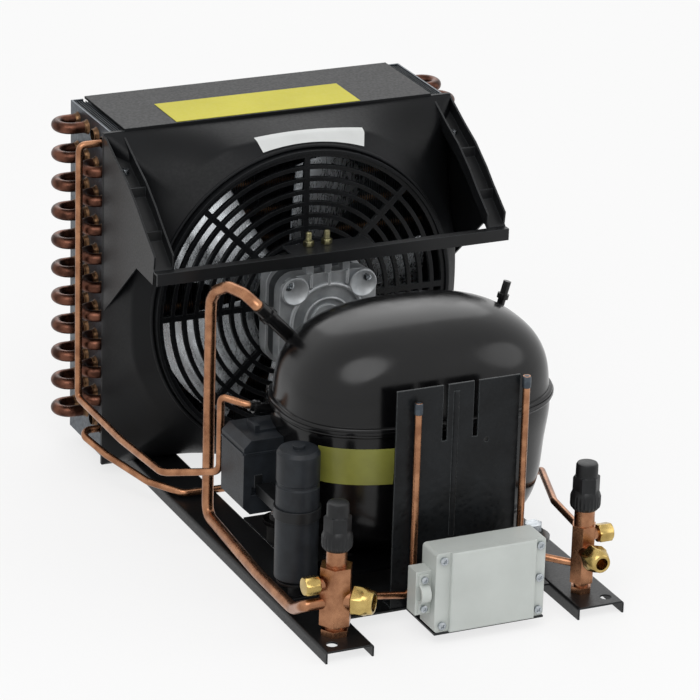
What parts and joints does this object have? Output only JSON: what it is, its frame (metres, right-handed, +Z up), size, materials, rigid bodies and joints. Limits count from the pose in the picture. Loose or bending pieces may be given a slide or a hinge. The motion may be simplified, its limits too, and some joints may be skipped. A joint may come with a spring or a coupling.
{
  "type": "refrigeration condensing unit",
  "caption": "Air-cooled hermetic condensing unit on two base rails, with finned condenser, shrouded fan, oval compressor, service valves and junction box.",
  "frame": {"origin": "middle of the overall box, on the floor under the base rails", "axes": "+X to the unit's right seen from the valve end, +Y back towards the condenser, +Z up"},
  "size_m": [0.351, 0.485, 0.302],
  "materials": {
    "black_paint": "black powder-coated sheet steel, satin",
    "bracket_paint": "black painted sheet steel, slightly glossy",
    "shell_paint": "black gloss enamel on deep-drawn steel",
    "shroud_plastic": "black moulded polypropylene, satin",
    "electrical_plastic": "dark grey moulded phenolic, satin",
    "cap_plastic": "black moulded nylon",
    "grey_plastic": "light grey moulded ABS",
    "copper": "drawn copper, lightly oxidised",
    "brass": "machined brass",
    "aluminium": "plain aluminium",
    "galvanised_steel": "hot-dip galvanised sheet",
    "zinc_steel": "zinc-plated steel",
    "bearing_bronze": "sintered bronze",
    "lamination_steel": "stacked electrical steel",
    "cast_iron": "machined grey iron",
    "rubber": "black moulded rubber"
  },
  "bodies": {
    "chassis": {"bracket_arm_left": "black_paint", "bracket_arm_right": "black_paint", "bracket_plate": "bracket_paint", "capacitor_bracket": "black_paint", "coil_bends_left": "copper", "coil_bends_right": "copper", "coil_fins": "aluminium", "compressor_feet": "shell_paint", "compressor_lower_shell": "shell_paint", "compressor_pump": "cast_iron", "compressor_stator": "lamination_steel", "compressor_upper_shell": "shell_paint", "cord_clamp_base": "grey_plastic", "cord_clamp_strap": "grey_plastic", "cross_plate": "black_paint", "discharge_connector": "copper", "discharge_line": "copper", "fan_guard": "shroud_plastic", "frame_screws": "zinc_steel", "grommet_bolts": "zinc_steel", "junction_box": "grey_plastic", "junction_lid": "grey_plastic", "junction_screws": "zinc_steel", "liquid_flare_nut": "brass", "liquid_line": "copper", "liquid_port_cap": "brass", "liquid_pressure_tube": "copper", "liquid_valve_body": "copper", "motor_bar": "black_paint", "motor_bearings": "bearing_bronze", "motor_front_shield": "aluminium", "motor_rear_shield": "aluminium", "motor_screws": "zinc_steel", "motor_stator": "lamination_steel", "motor_studs": "zinc_steel", "process_tube": "copper", "pump_springs": "lamination_steel", "rail_left": "black_paint", "rail_right": "black_paint", "relay_clip": "electrical_plastic", "relay_cover": "electrical_plastic", "rubber_grommets": "rubber", "shroud": "shroud_plastic", "start_capacitor": "electrical_plastic", "suction_connector": "copper", "suction_flare_nut": "brass", "suction_line": "copper", "suction_port_cap": "brass", "suction_pressure_tube": "copper", "suction_valve_body": "copper", "tube_sheet_left": "galvanised_steel", "tube_sheet_right": "galvanised_steel"},
    "fan": {"motor_shaft": "zinc_steel", "motor_rotor": "lamination_steel", "fan_hub": "zinc_steel", "fan_blades": "aluminium"},
    "suction_cap": {"suction_valve_cap": "cap_plastic"},
    "liquid_cap": {"liquid_valve_cap": "cap_plastic"},
    "suction_spindle": {"suction_valve_spindle": "zinc_steel"},
    "liquid_spindle": {"liquid_valve_spindle": "zinc_steel"}
  },
  "joints": [
    {"name": "fan_spin", "type": "hinge", "parent": "chassis", "child": "fan", "pos_m": [0, 0.12, 0.155], "axis": [0, 1, 0], "continuous": true},
    {"name": "suction_cap_turn", "type": "hinge", "parent": "chassis", "child": "suction_cap", "pos_m": [-0.107, -0.2105, 0.09], "axis": [0, 0, 1], "range_deg": [0, 720]},
    {"name": "liquid_cap_turn", "type": "hinge", "parent": "chassis", "child": "liquid_cap", "pos_m": [0.104, -0.2105, 0.09], "axis": [0, 0, 1], "range_deg": [0, 720]},
    {"name": "suction_spindle_turn", "type": "hinge", "parent": "chassis", "child": "suction_spindle", "pos_m": [-0.107, -0.2105, 0.09], "axis": [0, 0, 1], "range_deg": [0, 1080]},
    {"name": "liquid_spindle_turn", "type": "hinge", "parent": "chassis", "child": "liquid_spindle", "pos_m": [0.104, -0.2105, 0.09], "axis": [0, 0, 1], "range_deg": [0, 1080]}
  ]
}
